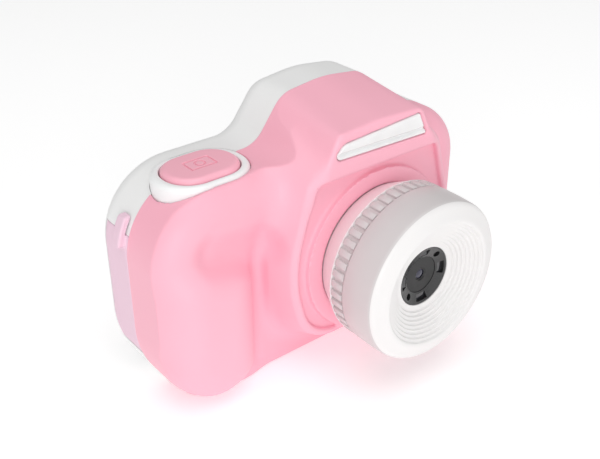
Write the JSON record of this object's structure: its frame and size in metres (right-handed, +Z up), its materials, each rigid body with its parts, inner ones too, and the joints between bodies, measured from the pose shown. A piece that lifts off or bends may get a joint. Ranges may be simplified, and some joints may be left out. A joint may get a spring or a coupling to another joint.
{
  "type": "toy digital camera",
  "caption": "Chunky two-tone children's camera with a hand grip, top shutter button, flash window, stepped lens barrel with a ribbed turning ring, rear screen with keys, and a side port door.",
  "frame": {"origin": "on the flat underside, straight below the lens axis, in the parting plane between the front and the back shell", "axes": "+Z up; -Y the way the lens looks; +X to the right for someone facing the front, so the hand grip is on the -X side"},
  "size_m": [0.0929, 0.0548, 0.0641],
  "materials": {
    "pink_shell": "fine satin, light pink",
    "white_shell": "satin, cool off-white",
    "lens_white": "smooth satin to semi-gloss, warm white",
    "lens_grey": "satin, pale grey",
    "pale_ring": "smooth, pale pinkish white",
    "lilac_soft": "soft matte, lilac pink",
    "black_gloss": "polished black",
    "black_plastic": "matte black",
    "smoked_window": "polished, dark",
    "clear_plastic": "clear, polished",
    "optical_glass": "coated, polished",
    "reflector": "bright vacuum-plated",
    "led": "phosphor yellow",
    "circuit_board": "solder mask, green",
    "flex_film": "polyimide film, amber",
    "chip_black": "moulded, black",
    "sensor": "glass lid, blue-grey",
    "battery_wrap": "shrink film, blue",
    "lcd_frame": "pressed steel frame",
    "plated_steel": "nickel plated",
    "spring_steel": "drawn wire, bright",
    "black_screw": "blackened"
  },
  "bodies": {
    "housing": {"front_shell": "pink_shell", "back_shell": "white_shell", "shutter_bezel": "white_shell", "shutter_spring": "spring_steel", "shutter_switch": "black_plastic", "shutter_board": "circuit_board", "flash_window": "clear_plastic", "flash_reflector": "reflector", "flash_board": "circuit_board", "flash_leds": "led", "lens_base_ring": "pale_ring", "lens_lock_ring": "white_shell", "lens_barrel": "lens_white", "lens_bezel": "black_gloss", "light_windows": "smoked_window", "bezel_screws": "black_screw", "lens_cover": "black_gloss", "objective_lens": "optical_glass", "lens_holder": "black_plastic", "image_sensor": "sensor", "sensor_board": "circuit_board", "sensor_flex": "flex_film", "main_board": "circuit_board", "main_chip": "chip_black", "memory_chip": "chip_black", "battery": "battery_wrap", "speaker": "black_plastic", "lcd_panel": "lcd_frame", "lcd_flex": "flex_film", "screen_window": "smoked_window", "key_board": "circuit_board", "key_switches": "black_plastic", "usb_socket": "plated_steel", "usb_tongue": "chip_black", "card_socket": "plated_steel", "housing_screws": "plated_steel"},
    "shutter": {"shutter_button": "pink_shell"},
    "ring": {"focus_ring": "lens_grey"},
    "door": {"port_door": "lilac_soft"},
    "card": {"memory_card": "chip_black"},
    "key_ok_body": {"key_ok": "pink_shell"},
    "key_up_body": {"key_up": "pink_shell"},
    "key_down_body": {"key_down": "pink_shell"},
    "key_left_body": {"key_left": "pink_shell"},
    "key_right_body": {"key_right": "pink_shell"},
    "key_mode_body": {"key_mode": "pink_shell"},
    "key_power_body": {"key_power": "pink_shell"}
  },
  "joints": [
    {"name": "shutter_press", "type": "slide", "parent": "housing", "child": "shutter", "axis": [0, 0, -1], "range_m": [0, 0.0012], "stiffness_N_per_m": 900, "springref_m": -0.0008, "deforming": ["shutter_spring"]},
    {"name": "focus_turn", "type": "hinge", "parent": "housing", "child": "ring", "pos_m": [0, -0.02775, 0.0281], "axis": [0, -1, 0], "range_deg": [-45, 45]},
    {"name": "door_swing", "type": "hinge", "parent": "housing", "child": "door", "pos_m": [-0.05186, 0.0049, 0.01115], "axis": [0, -1, 0], "range_deg": [0, 100]},
    {"name": "card_push", "type": "slide", "parent": "housing", "child": "card", "axis": [1, 0, 0], "range_m": [0, 0.0006], "stiffness_N_per_m": 400, "springref_m": -0.0006},
    {"name": "key_ok_press", "type": "slide", "parent": "housing", "child": "key_ok_body", "axis": [0, -1, 0], "range_m": [0, 0.0004], "stiffness_N_per_m": 500, "springref_m": -0.0006},
    {"name": "key_up_press", "type": "slide", "parent": "housing", "child": "key_up_body", "axis": [0, -1, 0], "range_m": [0, 0.0004], "stiffness_N_per_m": 500, "springref_m": -0.0006},
    {"name": "key_down_press", "type": "slide", "parent": "housing", "child": "key_down_body", "axis": [0, -1, 0], "range_m": [0, 0.0004], "stiffness_N_per_m": 500, "springref_m": -0.0006},
    {"name": "key_left_press", "type": "slide", "parent": "housing", "child": "key_left_body", "axis": [0, -1, 0], "range_m": [0, 0.0004], "stiffness_N_per_m": 500, "springref_m": -0.0006},
    {"name": "key_right_press", "type": "slide", "parent": "housing", "child": "key_right_body", "axis": [0, -1, 0], "range_m": [0, 0.0004], "stiffness_N_per_m": 500, "springref_m": -0.0006},
    {"name": "key_mode_press", "type": "slide", "parent": "housing", "child": "key_mode_body", "axis": [0, -1, 0], "range_m": [0, 0.0004], "stiffness_N_per_m": 500, "springref_m": -0.0006},
    {"name": "key_power_press", "type": "slide", "parent": "housing", "child": "key_power_body", "axis": [0, -1, 0], "range_m": [0, 0.0004], "stiffness_N_per_m": 500, "springref_m": -0.0006}
  ]
}
